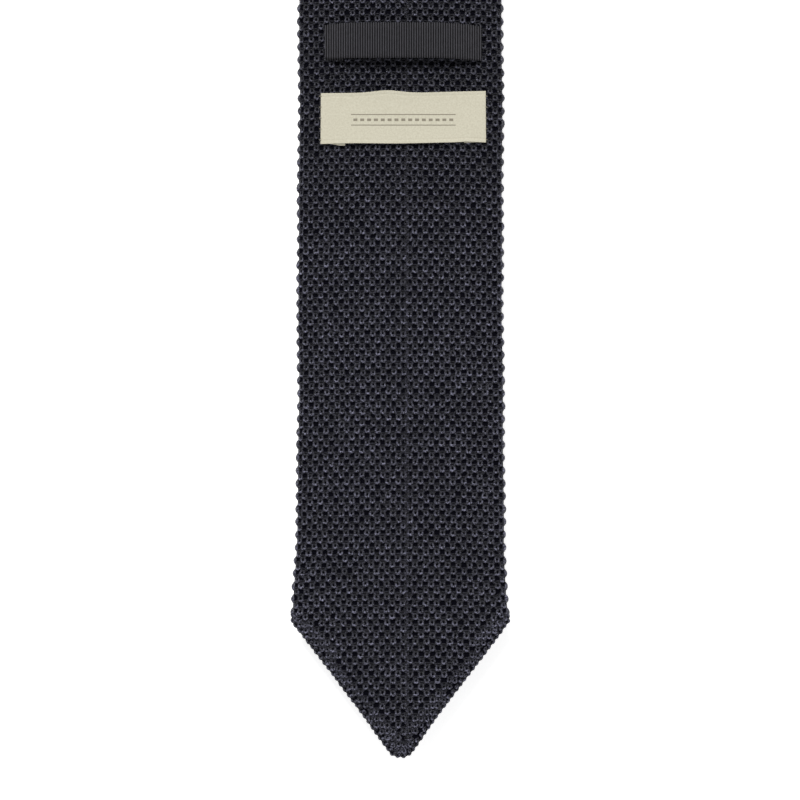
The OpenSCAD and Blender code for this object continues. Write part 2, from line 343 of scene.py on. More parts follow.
def stitches(name, mapping, p, along, unit, size=(1.0, 1.0), kind="fine", seed=1, sink=0.0):
    """Loops of yarn on a surface. mapping(p, along, h) gives the points, p and along are the loops' places,
    unit turns a length into the along coordinate, and size scales a loop across and along."""
    rng = np.random.default_rng(seed)
    shape, quads, cells, parts = stitch_template(kind)
    count = len(p)
    p = p + rng.normal(0, 0.07 * MM, count)
    along = along + rng.normal(0, 0.10 * MM, count) * unit
    spin = rng.normal(0, 0.14, count)[:, None]
    swell = (1 + rng.normal(0, 0.05, count))[:, None]
    lift = rng.normal(-sink, 0.04 * MM, count)[:, None]
    a = shape[None, :, 0] * swell * np.asarray(size[0]).reshape(-1, 1)
    b = shape[None, :, 1] * swell * np.asarray(size[1]).reshape(-1, 1)
    across = a * np.cos(spin) - b * np.sin(spin)
    onward = a * np.sin(spin) + b * np.cos(spin)
    h = shape[None, :, 2] + lift
    points = mapping(p[:, None] + across, along[:, None] + onward * unit, h).reshape(-1, 3)
    faces = (quads[None] + (np.arange(count) * len(shape))[:, None, None]).reshape(-1, 4)
    side = math.ceil(math.sqrt(count))
    corner = np.stack([np.arange(count) % side, np.arange(count) // side], axis=-1)
    atlas = (corner[:, None, None, :] + 0.03 + 0.94 * cells[None]) / side
    yarn = np.concatenate([part[2] for part in parts])
    yarn = np.broadcast_to(yarn[None], (count, *yarn.shape))
    # Painted shade: the yarn is painted darker the deeper it lies in the cloth, down to nearly black, so the
    # proud lower rims come out lightest. The random factor is each loop's own tone.
    high = np.clip(1 + shape[:, 2] / (0.95 * MM), 0, 1) ** 2.6
    tone = ((0.04 + 0.96 * high[None]) * rng.uniform(0.7, 1.15, count)[:, None]).ravel()
    # Painted shade round the keeper and the label, on the blade only.
    shade = PAINTED_SHADE_SHARE * np.interp(points[:, 2], PAINTED_SHADE_Z, (0, 1))
    tone = tone * (1 - shade * np.exp(-((points[:, 1] - PAINTED_SHADE_Y) / PAINTED_SHADE_REACH) ** 2))
    # Painted light that evens the plainer loops with the fine ones.
    if kind == "plain":
        tone = tone * PLAIN_PAINTED_LIGHT
    return make_mesh(name, points, faces, [("Yarn", yarn), ("OFBake", atlas)], [("tone", tone)])


# ---------------------------------------------------------------- where the loops go

def row_places(stretch, first, last, shift=0):
    """The along coordinates of a column's loops between first and last, moved on by half a loop if shift
    is 1."""
    step = stretch.step
    along = np.arange(math.floor(first / step) - 1, math.ceil(last / step) + 1) * step
    along = along + shift * step / 2 + stretch.row0
    return along[(along >= first) & (along < last)]


def back_columns(stretch):
    """The columns of the back: which side of the seam each is on, its number from the folded side inwards,
    and how many there are on that side."""
    columns = []
    for side in (-1, 1):
        length = round_to_side(stretch, stretch.usual) - side * SEAM_X - SEAM_GAP
        count = max(2, round(length / WALE))
        columns += [(side, k, count) for k in range(1, count + 1)]
    return columns


def lattice_back(stretch, pits=False):
    """Places (p, along) of the loops on the back, up to the lobes of the folded sides. With pits, the places
    halfway between them, where the knit is open."""
    places = []
    for side, k, count in back_columns(stretch):
        along = row_places(stretch, stretch.start, stretch.end, (k + pits) % 2)
        edge = round_to_side(stretch, stretch.half(along))
        inner = side * SEAM_X + SEAM_GAP
        p = side * (edge - (edge - inner) * k / count)
        droop = ROW_DROOP * stretch.along_unit * (p / edge) ** 2
        places.append(np.stack([p, along - droop], axis=-1))
    return np.concatenate(places)


def lattice_front(stretch, pits=False):
    """Places of the loops on the front, between the lobes of the folded sides. With pits, the places halfway
    between them."""
    count = 2 * round(round_to_side(stretch, stretch.usual) / WALE)
    places = []
    for k in range(1, count):
        along = row_places(stretch, stretch.start, stretch.end, (k + pits) % 2)
        edge = round_to_side(stretch, stretch.half(along))
        p = edge + 2 * edge * k / count
        places.append(np.stack([np.where(p > 2 * edge, p - 4 * edge, p), along], axis=-1))
    return np.concatenate(places)


def lobe_places(stretch, first, last):
    """Places of the lobes along both folded sides."""
    along = row_places(stretch, first, last) - ROW_DROOP * stretch.along_unit
    p = round_to_side(stretch, stretch.half(along))
    return np.concatenate([np.stack([side * p, along], axis=-1) for side in (-1, 1)])


def point_line(flat):
    """The outline of a point from just above its left shoulder round the tip to the right one, in even
    steps."""
    chosen = flat.ys <= flat.shoulder + 1e-7
    above = flat.shoulder + SHOULDER_REACH
    right = np.stack([flat.xs[chosen], flat.ys[chosen]], axis=-1)
    right = np.concatenate([right, [[float(flat.outline(above)), above]]])
    left = (right * [-1, 1])[::-1]
    line = np.concatenate([left[:-1], right])
    length = np.concatenate([[0], np.cumsum(np.linalg.norm(np.diff(line, axis=0), axis=1))])
    t = np.linspace(0, length[-1], int(length[-1] / (0.3 * MM)))
    return np.stack([np.interp(t, length, line[:, i]) for i in range(2)], axis=-1)


def point_path(flat, inset):
    """A point's outline drawn in by inset: lengths along it, its places, and the direction outwards at
    each."""
    fine = point_line(flat)
    ahead = np.gradient(fine, axis=0)
    for _ in range(4):
        ahead[1:-1] = (ahead[:-2] + 2 * ahead[1:-1] + ahead[2:]) / 4
    ahead /= np.linalg.norm(ahead, axis=1)[:, None]
    outward = np.stack([ahead[:, 1], -ahead[:, 0]], axis=-1)
    blunt = POINT_OUT + TIP_OUT * np.exp(-((fine[:, 1] - flat.start) / TIP_REACH) ** 2)
    inner = fine - outward * (inset - blunt)[:, None]
    path = np.concatenate([[0], np.cumsum(np.linalg.norm(np.diff(inner, axis=0), axis=1))])
    return path, inner, outward


def point_surface(flat):
    """A mapping for the cloth's edge along a point: q is measured from the top of the rim, round it."""
    _, inner, outward = point_path(flat, flat.r)
    path, _, _ = point_path(flat, 0.0)
    r = flat.r

    def mapping(q, t, h):
        base = np.stack([np.interp(t, path, inner[:, i]) for i in range(2)], axis=-1)
        out = np.stack([np.interp(t, path, outward[:, i]) for i in range(2)], axis=-1)
        out /= np.linalg.norm(out, axis=-1)[..., None]
        turn = np.clip(q / r, 0, math.pi)
        reach = np.where(q < 0, q, np.where(q > math.pi * r, math.pi * r - q, (r + h) * np.sin(turn)))
        spot = base + out * reach[..., None]
        return flat.place(spot[..., 0], spot[..., 1], (r + h) * np.cos(turn))

    return mapping, path[-1]


def point_gap(flat, p, y):
    """How far places on a flat stretch lie inside its point's edges; below 0 where they are outside."""
    x = surface(flat, p, y, np.zeros(len(p)))[:, 0]
    line = point_line(flat)
    gap = np.hypot(x[:, None] - line[None, :, 0], y[:, None] - line[None, :, 1]).min(axis=1)
    outside = np.abs(x) > np.interp(y, flat.ys, flat.xs, left=0.0)
    return np.where((y < flat.shoulder) & outside, -gap, gap)


# ---------------------------------------------------------------- materials

def srgb(r, g, b):
    """A colour given as it looks on screen, from 0 to 255, as linear light."""
    shares = [c / 255 for c in (r, g, b)]
    return [c / 12.92 if c <= 0.04045 else ((c + 0.055) / 1.055) ** 2.4 for c in shares] + [1.0]


def new_material(name):
    m = bpy.data.materials.new(name)
    m.use_nodes = True
    shader = m.node_tree.nodes["Principled BSDF"]
    return m, m.node_tree, shader


def node(tree, kind, **settings):
    n = tree.nodes.new(kind)
    for key, value in settings.items():
        setattr(n, key, value)
    return n


def math_node(tree, operation, a, b=None):
    n = node(tree, "ShaderNodeMath", operation=operation)
    for socket, value in zip(n.inputs, (a, b)):
        if value is None:
            continue
        if isinstance(value, (int, float)):
            socket.default_value = value
        else:
            tree.links.new(value, socket)
    return n.outputs[0]


def mix_colour(tree, factor, a, b):
    n = node(tree, "ShaderNodeMix", data_type="RGBA")
    tree.links.new(factor, n.inputs["Factor"])
    for socket, value in ((n.inputs["A"], a), (n.inputs["B"], b)):
        if isinstance(value, list):
            socket.default_value = value
        else:
            tree.links.new(value, socket)
    return n.outputs["Result"]


def object_place(tree):
    return node(tree, "ShaderNodeTexCoord").outputs["Object"]


def split_xy(tree, vector):
    n = node(tree, "ShaderNodeSeparateXYZ")
    tree.links.new(vector, n.inputs[0])
    return n.outputs["X"], n.outputs["Y"]


def ripple(tree, kind, value, pitch):
    """A SINE or COSINE wave of the given pitch."""
    return math_node(tree, kind, math_node(tree, "MULTIPLY", value, 2 * math.pi / pitch))


def add_noise(tree, scale, detail=None, place=None):
    n = node(tree, "ShaderNodeTexNoise")
    n.inputs["Scale"].default_value = scale
    if detail is not None:
        n.inputs["Detail"].default_value = detail
    if place is not None:
        tree.links.new(place, n.inputs["Vector"])
    return n.outputs["Fac"]


def add_bump(tree, shader, height, strength, distance):
    n = node(tree, "ShaderNodeBump")
    n.inputs["Strength"].default_value = strength
    n.inputs["Distance"].default_value = distance
    tree.links.new(height, n.inputs["Height"])
    tree.links.new(n.outputs["Normal"], shader.inputs["Normal"])


def set_gloss(shader, roughness, specular):
    shader.inputs["Roughness"].default_value = roughness
    shader.inputs["Specular IOR Level"].default_value = specular


def knit_material(name, dark, light):
    """Silk yarn: painted shade makes it darker where it dives into the cloth; each loop a little different,
    with fine twisted plies, and fibres whose noise also paints bright glints into the colour."""
    m, tree, shader = new_material(name)
    tone = node(tree, "ShaderNodeAttribute", attribute_name="tone").outputs["Fac"]
    along, around = split_xy(tree, node(tree, "ShaderNodeUVMap", uv_map="Yarn").outputs["UV"])
    turns = math_node(tree, "MULTIPLY", along, 2 * math.pi * 7)
    plies = math_node(tree, "MULTIPLY", around, 2 * math.pi * 2)
    ply = math_node(tree, "SINE", math_node(tree, "ADD", turns, plies))
    fibres = add_noise(tree, 2300, 1, object_place(tree))
    # The fibre noise, strongly raised, paints glints of the silk's sheen as well as the fibres' own tone.
    fibres_and_painted_glints = math_node(tree, "MULTIPLY", math_node(tree, "SUBTRACT", fibres, 0.5), 11.0)
    detail = math_node(tree, "ADD", math_node(tree, "MULTIPLY", ply, 0.3), fibres_and_painted_glints)
    detail = math_node(tree, "MAXIMUM", math_node(tree, "ADD", detail, 1.0), 0.0)
    colour = mix_colour(tree, math_node(tree, "MULTIPLY", tone, detail), dark, light)
    colour.node.clamp_factor = False
    tree.links.new(colour, shader.inputs["Base Color"])
    set_gloss(shader, 0.42, 0.45)
    shader.inputs["Sheen Weight"].default_value = 0.04
    add_bump(tree, shader, math_node(tree, "ADD", ply, fibres), 0.6, 0.08 * MM)
    return m


def ground_material():
    """The ground of the knit, which shows only down the pits between the loops, painted nearly black as the
    shade down the pits.
    """
    m, tree, shader = new_material("knit_ground_painted_shade")
    spots = add_noise(tree, 900)
    # Painted shade: nearly black, as the pits look in shade.
    tree.links.new(mix_colour(tree, spots, srgb(1, 1, 7), srgb(8, 8, 20)), shader.inputs["Base Color"])
    set_gloss(shader, 0.9, 0.1)
    add_bump(tree, shader, spots, 0.6, 0.2 * MM)
    return m


def dress(ob, material):
    ob.data.materials.append(material)


# ---------------------------------------------------------------- the knitted stretches

KNIT = knit_material("knit_yarn", srgb(4, 4, 14), srgb(84, 84, 100))
PIT_SHADE_GROUND = ground_material()
SEAM_YARN = knit_material("seam_yarn", srgb(4, 4, 12), srgb(52, 52, 64))

blade = Flat(["blade_front", "crown_front"], back_up=True, pointed=True)
upper = Flat(["upper_front"], back_up=False)
neck = Flat(["neck_front"], back_up=True)
tail = Flat(["tail_front"], back_up=False, pointed=True)
first_turn = Turn(["first_turn_back"], blade, back_outside=True, bulge=1)
second_turn = Turn(["second_turn_front"], upper, back_outside=False, bulge=-1)
third_turn = Turn(["third_turn_back"], neck, back_outside=True, bulge=1)

seam_low, seam_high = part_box("blade_seam")
SEAM_X = (seam_low.x + seam_high.x) / 2
lift_y = (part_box("blade_front")[1].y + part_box("crown_front")[0].y) / 2
zone_low, zone_high = lift_y - BEND_BELOW, lift_y + BEND_ABOVE
PAINTED_SHADE_Y = (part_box("keeper_loop")[1].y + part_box("label")[0].y) / 2     # half way up the keeper and the label, the middle of the painted shade
PAINTED_SHADE_Z = (blade.mid - blade.r, blade.mid)    # the painted shade comes in over this height, so only the blade has it


def on(stretch):
    return lambda p, along, h: surface(stretch, p, along, h)


def loop_size(stretch, p, along):
    """How wide and how tall a loop is here: as wide as the columns allow, and smaller near a point's
    edges."""
    if isinstance(stretch, Turn):
        return np.ones(len(p)), np.ones(len(p))
    width = np.clip(stretch.half(along) / stretch.usual, 0.85, 1.12)
    if not stretch.pointed:
        return width, np.ones(len(p))
    near = (along < stretch.shoulder) & (point_gap(stretch, p, along) < EDGE_DENSE)
    shrink = np.where(near, 0.86, 1.0)
    return width * shrink, shrink


def knit_piece(name, stretch, places, bodies, kind, seed):
    """One piece of loops on a stretch, riding on one body or lying between two."""
    p, along = places[:, 0], places[:, 1]
    size = (1.0, 1.0) if kind == "lobe" else loop_size(stretch, p, along)
    ob = stitches(name, on(stretch), p, along, stretch.along_unit, size, kind, seed)
    dress(ob, KNIT)
    attach(ob, stretch, bodies)


def attach(ob, stretch, bodies):
    """Makes a piece ride on one body; a piece between two only has its placement baked into its points."""
    if isinstance(bodies, str):
        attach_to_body(ob, bodies)
    elif isinstance(stretch, Turn):
        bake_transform(ob)
    else:
        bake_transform(ob)


def ground_piece(name, stretch, first, last, bodies, spacing=2.5 * MM):
    """The closed, flattened tube under the loops."""
    rows = max(3, int((last - first) / (spacing * stretch.along_unit)) + 1)
    along = np.linspace(first, last, rows)
    half = stretch.half(along) - GROUND_EDGE
    if stretch.pointed and first < stretch.shoulder:
        along = np.unique(np.concatenate([along, np.linspace(first, first + 10 * MM, 16)]))
        inset = point_path(stretch, GROUND_EDGE)[1]
        right = inset[inset[:, 0] >= 0]
        sloped = np.interp(along, right[:, 1], right[:, 0])
        half = np.where(along < stretch.shoulder, sloped, stretch.half(along) - GROUND_EDGE)
    inner = stretch.r - GROUND_DEPTH
    flat = np.maximum(half - GROUND_RIM, 0.02 * MM)
    rim = np.linspace(0, math.pi, 8)
    across = np.linspace(-1, 1, 25)
    x = np.concatenate([
        np.outer(flat, across),
        flat[:, None] + GROUND_RIM * np.sin(rim)[None, 1:-1],
        np.outer(flat, across[::-1]),
        -flat[:, None] - GROUND_RIM * np.sin(rim)[None, 1:-1][:, ::-1],
    ], axis=1)
    side = inner * np.cos(rim)[1:-1]
    n = np.concatenate([np.full(25, inner), side, np.full(25, -inner), -side])
    x, n = np.roll(x, 3, axis=1), np.roll(n, 3)     # so that the end faces run straight across the tube
    cols = x.shape[1]
    points = stretch.place(x, np.repeat(along[:, None], cols, axis=1), np.broadcast_to(n, x.shape))
    ob = make_mesh(name, points.reshape(-1, 3), capped_quads(len(along), cols))
    dress(ob, PIT_SHADE_GROUND)
    attach(ob, stretch, bodies)


def seam_piece(name, stretch, first, last, bodies, seed):
    """Two tight columns of small stitches where the tube is joined down the back."""
    unit = stretch.along_unit
    along = np.arange(first, last, SEAM_PITCH * unit)
    p = np.concatenate([np.full(len(along), SEAM_X - SEAM_OFF), np.full(len(along), SEAM_X + SEAM_OFF)])
    along = np.concatenate([along, along + SEAM_PITCH / 2 * unit])
    ob = stitches(name, on(stretch), p, along, unit, (0.5, 0.62), "bare", seed, sink=0.12 * MM)
    dress(ob, SEAM_YARN)
    attach(ob, stretch, bodies)


def in_range(places, first, last, side=0):
    """The places between first and last, and with a side, only those on that side of the seam."""
    keep = (places[:, 1] >= first) & (places[:, 1] < last)
    if side:
        keep &= (places[:, 0] - SEAM_X) * side > 0
    return places[keep]


def places_on(flat, lattice):
    """A lattice's places on a flat stretch. Near the edges of a point its pits are filled too."""
    loops = lattice(flat)
    if not flat.pointed:
        return loops
    pits = lattice(flat, pits=True)
    keep = (loops[:, 1] > flat.shoulder) | (point_gap(flat, *loops.T) > EDGE_CLEAR)
    gap = point_gap(flat, *pits.T)
    fill = (pits[:, 1] < flat.shoulder) & (gap > EDGE_CLEAR) & (gap < EDGE_DENSE)
    return np.concatenate([loops[keep], pits[fill]])


def point_edge(name, flat, body, seed):
    """The rim of a point's turned-in edges: small lobes outermost, and a dense row of loops on each face."""
    mapping, length = point_surface(flat)
    rim = math.pi / 2 * flat.r
    t = np.arange(0.3, length / EDGE_PITCH) * EDGE_PITCH
    lobes = stitches(f"{name}_lobes", mapping, np.full(len(t), rim), t, 1.0, (0.85, 0.60), "lobe", seed,
                     sink=-POINT_BUMP)
    corner = np.minimum(np.minimum(t, length - t), np.abs(t - length / 2)) < CORNER_REACH
    outer = np.stack([np.full(len(t), RIM_ROW), t + EDGE_PITCH / 2])
    inner = np.stack([np.full(corner.sum(), 2 * RIM_ROW), t[corner]])
    face = np.concatenate([outer, inner], axis=1)
    q, t = np.concatenate([face * [[side], [1]] for side in (-1, 1)], axis=1)
    faces = stitches(f"{name}_loops", mapping, rim + q, t, 1.0, (0.92, 0.86), "bare", seed + 1,
                     sink=0.05 * MM)
    for ob in (lobes, faces):
        dress(ob, KNIT)
        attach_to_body(ob, body)


def side_lobes(name, stretch, first, last, bodies, seed):
    """The lobes along both folded sides of a stretch."""
    knit_piece(name, stretch, lobe_places(stretch, first, last), bodies, "lobe", seed)


def from_tip(flat, first, offset):
    """first, moved on by offset where it is a point's tip."""
    return first + offset if flat.pointed and first == flat.start else first


SIDES = (("left", -1), ("right", 1))
PARTS = (("blade", blade.start, zone_low, "blade"), ("lift", zone_low, zone_high, ("crown", "blade")),
         ("crown", zone_high, blade.end, "crown"))

blade_back = places_on(blade, lattice_back)
half_way = (blade.start + zone_low) / 2
LEVELS = (("low", blade.start, half_way), ("high", half_way, zone_low))
blade_pieces = [(*side, *level) for side in SIDES for level in LEVELS]
for seed, (end, side, level, first, last) in enumerate(blade_pieces, 11):
    places = in_range(blade_back, first, last, side)
    knit_piece(f"blade_back_{end}_loops_{level}", blade, places, "blade", "fine", seed)
places = in_range(blade_back, zone_low, zone_high)
knit_piece("lift_back_loops", blade, places, ("crown", "blade"), "fine", 15)
for seed, (end, side) in enumerate(SIDES, 16):
    places = in_range(blade_back, zone_high, blade.end, side)
    knit_piece(f"crown_back_{end}_loops", blade, places, "crown", "fine", seed)
point_edge("blade_point_edge", blade, "blade", 18)
for seed, (part, first, last, bodies) in enumerate(PARTS, 24):
    first = max(first, blade.shoulder + SHOULDER_REACH)
    side_lobes(f"{part}_side_lobes", blade, first, last, bodies, seed)

blade_front = places_on(blade, lattice_front)
for seed, (part, first, last, bodies) in enumerate(PARTS, 21):
    knit_piece(f"{part}_front_loops", blade, in_range(blade_front, first, last), bodies, "plain", seed)
for part, first, last, bodies in PARTS:
    ground_piece(f"{part}_ground", blade, from_tip(blade, first, GROUND_EDGE - TIP_OUT), last, bodies)
for seed, (part, first, last, bodies) in enumerate(PARTS, 31):
    seam_piece(f"{part}_seam_stitches", blade, from_tip(blade, first, SEAM_START), last, bodies, seed)

LAYERS = (("upper", upper, 40), ("neck", neck, 50), ("tail", tail, 60))
for body, flat, seed in LAYERS:
    if flat.pointed:
        point_edge(f"{body}_point_edge", flat, body, seed + 5)
    back = places_on(flat, lattice_back)
    for k, (end, side) in enumerate(SIDES, 1):
        places = in_range(back, flat.start, flat.end, side)
        knit_piece(f"{body}_back_{end}_loops", flat, places, body, "plain", seed + k)
    knit_piece(f"{body}_front_loops", flat, places_on(flat, lattice_front), body, "plain", seed + 3)
    first = flat.shoulder + (SHOULDER_REACH if flat.pointed else 0)
    side_lobes(f"{body}_side_lobes", flat, first, flat.end, body, seed + 7)
    ground_piece(f"{body}_ground", flat, from_tip(flat, flat.start, GROUND_EDGE - TIP_OUT), flat.end, body)
    first = from_tip(flat, flat.start, SEAM_START)
    seam_piece(f"{body}_seam_stitches", flat, first, flat.end, body, seed + 4)

# A piece at a fold names the body it leaves and the one it joins, for a half turn about +X. The second fold
# opens about -X, so its pieces name their bodies the other way round.
TURNS = (("first", first_turn, ("crown", "upper"), 70), ("second", second_turn, ("neck", "upper"), 80),
         ("third", third_turn, ("neck", "tail"), 90))
for name, turn, bodies, seed in TURNS:
    if turn.out > 0:
        places = lattice_back(turn)
        seam_piece(f"{name}_turn_seam_stitches", turn, SEAM_TRIM, turn.end - SEAM_TRIM, bodies, seed + 1)
    else:
        places = lattice_front(turn)
    knit_piece(f"{name}_turn_loops", turn, places, bodies, "fine", seed)
    side_lobes(f"{name}_turn_side_lobes", turn, turn.start, turn.end, bodies, seed + 2)
    ground_piece(f"{name}_turn_ground", turn, turn.start, turn.end, bodies, spacing=0.6 * MM)


# ---------------------------------------------------------------- the ribbon keeper and the label

def slab(name, x, y, z, thickness):
    """A closed piece of cloth whose top is the grid x, y, z and whose underside lies thickness below."""
    rows, cols = x.shape
    top = np.stack([x, y, z], axis=-1)
    under = np.stack([x, y, z - thickness], axis=-1)[:, ::-1]
    points = np.concatenate([top, under], axis=1).reshape(-1, 3)
    return make_mesh(name, points, capped_quads(rows, 2 * cols))


def bow(x, power):
    """1 in the middle of a strip and 0 at its ends, x running from -1 to 1."""
    return 1 - np.abs(x) ** power


cloth_top = blade.mid + blade.r
keeper_low, keeper_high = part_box("keeper_loop")
keeper_x = (keeper_low.x + keeper_high.x) / 2
keeper_y = (keeper_low.y + keeper_high.y) / 2
keeper_half = (keeper_high.x - keeper_low.x) / 2 + 0.2 * MM
KEEPER_CUT = (11.3 * MM, 55 * MM)   # the ribbon's width, and its length between the two tucked ends
RIB = 0.78 * MM             # from one rib to the next
RIBBON_WEFT = 0.3 * MM      # and from one thread of the weft to the next
RIBBON_T = 0.42 * MM        # the ribbon's thickness
TUCK_LONG = 6 * MM          # length of a tucked end
KEEPER_STITCH = 2.3 * MM    # from one of the stitches that hold the ribbon to the next


def ribbon(name, x0, x1, height, width, shift):
    """A strip of ribbed ribbon from x0 to x1. height, width and shift are functions of its own -1 to 1."""
    cols = int((x1 - x0) / RIB * 8) + 1
    t = np.linspace(-1, 1, cols)
    x = np.linspace(x0, x1, cols)
    rib = np.cos(2 * math.pi * x / RIB)
    across = np.linspace(-1, 1, 15)[:, None]
    edge = 1 + 0.012 * rib
    y = keeper_y + shift(t) + across * width(t) / 2 * edge
    z = cloth_top + height(t) + 0.12 * MM * rib * (1 - 0.5 * across ** 8) - 0.25 * MM * across ** 6
    return slab(name, np.broadcast_to(x, y.shape), y, z, RIBBON_T)


def ribbon_material():
    """Black ribbed ribbon: pale fine lines painted along the tops of the ribs as highlights, and a fine weft.
    """
    m, tree, shader = new_material("ribbed_ribbon")
    place = object_place(tree)
    x, y = split_xy(tree, place)
    # Painted highlight: a pale line along the top of each rib.
    painted_rib_highlight = math_node(tree, "MULTIPLY_ADD", ripple(tree, "COSINE", x, RIB), 0.5)
    painted_rib_highlight.node.inputs[2].default_value = 0.5
    painted_rib_highlight = math_node(tree, "MULTIPLY", math_node(tree, "POWER", painted_rib_highlight, 2.0), 0.85)
    spots = math_node(tree, "MULTIPLY", add_noise(tree, 700, place=place), 0.2)
    tone = math_node(tree, "ADD", painted_rib_highlight, spots)
    tree.links.new(mix_colour(tree, tone, srgb(0, 0, 0), srgb(80, 79, 84)), shader.inputs["Base Color"])
    set_gloss(shader, 0.7, 0.12)
    add_bump(tree, shader, ripple(tree, "SINE", y, RIBBON_WEFT), 0.3, 0.04 * MM)
    return m


RIBBON = ribbon_material()
keeper = ribbon(
    "keeper_ribbon", keeper_x - keeper_half, keeper_x + keeper_half,
    height=lambda t: 0.75 * MM + 4.6 * MM * bow(t, 4.5),
    width=lambda t: KEEPER_CUT[0] - (0.45 - 0.1 * t) * MM * t ** 6,
    shift=lambda t: 0.62 * MM + 0.1 * MM * bow(t, 2) - 1.0 * MM * np.clip(t - 0.45, 0, 1),
)
dress(keeper, RIBBON)
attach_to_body(keeper, "blade")
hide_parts("keeper_loop")


def tuck_piece(end, side):
    """One end of the ribbon, tucked under the keeper."""
    outer = keeper_x + side * (keeper_half - 0.1 * MM)
    inner = outer - side * TUCK_LONG
    tuck = ribbon(
        f"keeper_end_tuck_{end}", min(outer, inner), max(outer, inner),
        height=lambda t: 0.40 * MM + 0 * t,
        width=lambda t: 10.4 * MM + 0 * t,
        shift=lambda t: -0.1 * MM + 0 * t,
    )
    dress(tuck, RIBBON)
    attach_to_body(tuck, "blade")
    return tuck


tucks = [tuck_piece(end, side) for end, side in SIDES]
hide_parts("keeper_end_tucks")


def stitch_places(x, half, y, pitch, z):
    """Places of five stitches at each end of a strip."""
    return [(x + side * half, y + i * pitch, z) for side in (-1, 1) for i in range(-2, 3)]


def thread(name, places, length, height, material, radius=0.11 * MM):
    """Short stitches across an edge: each an arch of thread along x that dips into the cloth at both ends."""
    a = np.linspace(-1, 1, 7)
    line = np.stack([a * length / 2, 0 * a, height * bow(a, 2) - 0.25 * MM], axis=-1)
    points, quads, corners = tube_template(line, np.full(7, radius), 6, closed=False)
    count = len(places)
    spots = (points[None] + np.array(places)[:, None]).reshape(-1, 3)
    faces = (quads[None] + (np.arange(count) * len(points))[:, None, None]).reshape(-1, 4)
    yarn = np.broadcast_to(corners[None], (count, *corners.shape))
    ob = make_mesh(name, spots, faces, [("Yarn", yarn)], [("tone", np.full(len(spots), 0.5))])
    dress(ob, material)
    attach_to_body(ob, "blade")
    return ob


THREAD_BLACK = knit_material("keeper_thread", srgb(16, 16, 19), srgb(44, 44, 50))
places = stitch_places(keeper_x, keeper_half + 0.1 * MM, keeper_y, KEEPER_STITCH, cloth_top + 0.25 * MM)
keeper_stitches = thread("keeper_tacking", places, 1.3 * MM, 0.9 * MM, THREAD_BLACK)
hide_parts("keeper_stitches")

label_low, label_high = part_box("label")
label_x = (label_low.x + label_high.x) / 2
label_y = (label_low.y + label_high.y) / 2 + 0.5 * MM
LABEL_HALF = (label_high.x - label_low.x) / 2
LABEL_TALL = label_high.y - label_low.y
LABEL_T = 0.34 * MM         # its thickness
LABEL_WARP = 0.42 * MM      # from one thread of the warp to the next
LABEL_WEFT = 0.36 * MM      # and from one thread of the weft to the next
LABEL_STITCH = 3.5 * MM     # from one of the stitches that hold the label to the next
FLAP_T = 0.25 * MM          # thickness of the label's ends, pressed flat under it
BAND_DROP = 0.6 * MM        # the woven band's middle lies this far below the label's
BAND_HALF = 16.8 * MM       # half length of the band
RULE_OFF = 1.7 * MM         # its two rules lie this far above and below its middle
RULE_HALF = 0.16 * MM       # half width of a rule
DASH_PITCH = 2.2 * MM       # from one dash to the next
DASH_HALF = 0.42 * MM       # half height of a dash


def label_top(x):
    """The label's upper edge, x running from -1 to 1: it bulges left of the middle and rises to the right."""
    return 0.74 * MM * np.exp(-((x + 0.20) / 0.22) ** 2) + 0.55 * MM * np.clip(x - 0.2, 0, 1) + 0.15 * MM * x


def label_bottom(x):
    """The lower edge sags a little at the left end and lifts near the right one."""
    return 0.25 * MM * x + 0.22 * MM * np.exp(-((x - 0.78) / 0.10) ** 2) - 0.10 * MM * np.cos(5 * x)


def label_material():
    """Cream woven cloth with a fine grain and a plain woven band: a row of dashes between two thin rules."""
    m, tree, shader = new_material("label_weave")
    place = object_place(tree)
    x, y = split_xy(tree, place)
    warp, weft = ripple(tree, "SINE", x, LABEL_WARP), ripple(tree, "SINE", y, LABEL_WEFT)
    weave = math_node(tree, "MULTIPLY", math_node(tree, "MULTIPLY", warp, weft), 0.2)
    grain = math_node(tree, "ADD", weave, add_noise(tree, 1800, 1, place))
    cloth = mix_colour(tree, grain, srgb(195, 189, 167), srgb(221, 217, 198))
    x_off = math_node(tree, "ABSOLUTE", math_node(tree, "SUBTRACT", x, label_x))
    y_off = math_node(tree, "ABSOLUTE", math_node(tree, "SUBTRACT", y, label_y - BAND_DROP))
    rule_gap = math_node(tree, "ABSOLUTE", math_node(tree, "SUBTRACT", y_off, RULE_OFF))
    rules = math_node(tree, "LESS_THAN", rule_gap, RULE_HALF)
    dashes = math_node(tree, "GREATER_THAN", ripple(tree, "COSINE", x_off, DASH_PITCH), -0.25)
    dashes = math_node(tree, "MULTIPLY", dashes, math_node(tree, "LESS_THAN", y_off, DASH_HALF))
    band = math_node(tree, "MAXIMUM", rules, dashes)
    band = math_node(tree, "MULTIPLY", band, math_node(tree, "LESS_THAN", x_off, BAND_HALF))
    band = math_node(tree, "MULTIPLY", band, 0.75)
    tree.links.new(mix_colour(tree, band, cloth, srgb(112, 103, 88)), shader.inputs["Base Color"])
    set_gloss(shader, 0.75, 0.25)
    add_bump(tree, shader, grain, 0.4, 0.05 * MM)
    return m


LABEL_CLOTH = label_material()


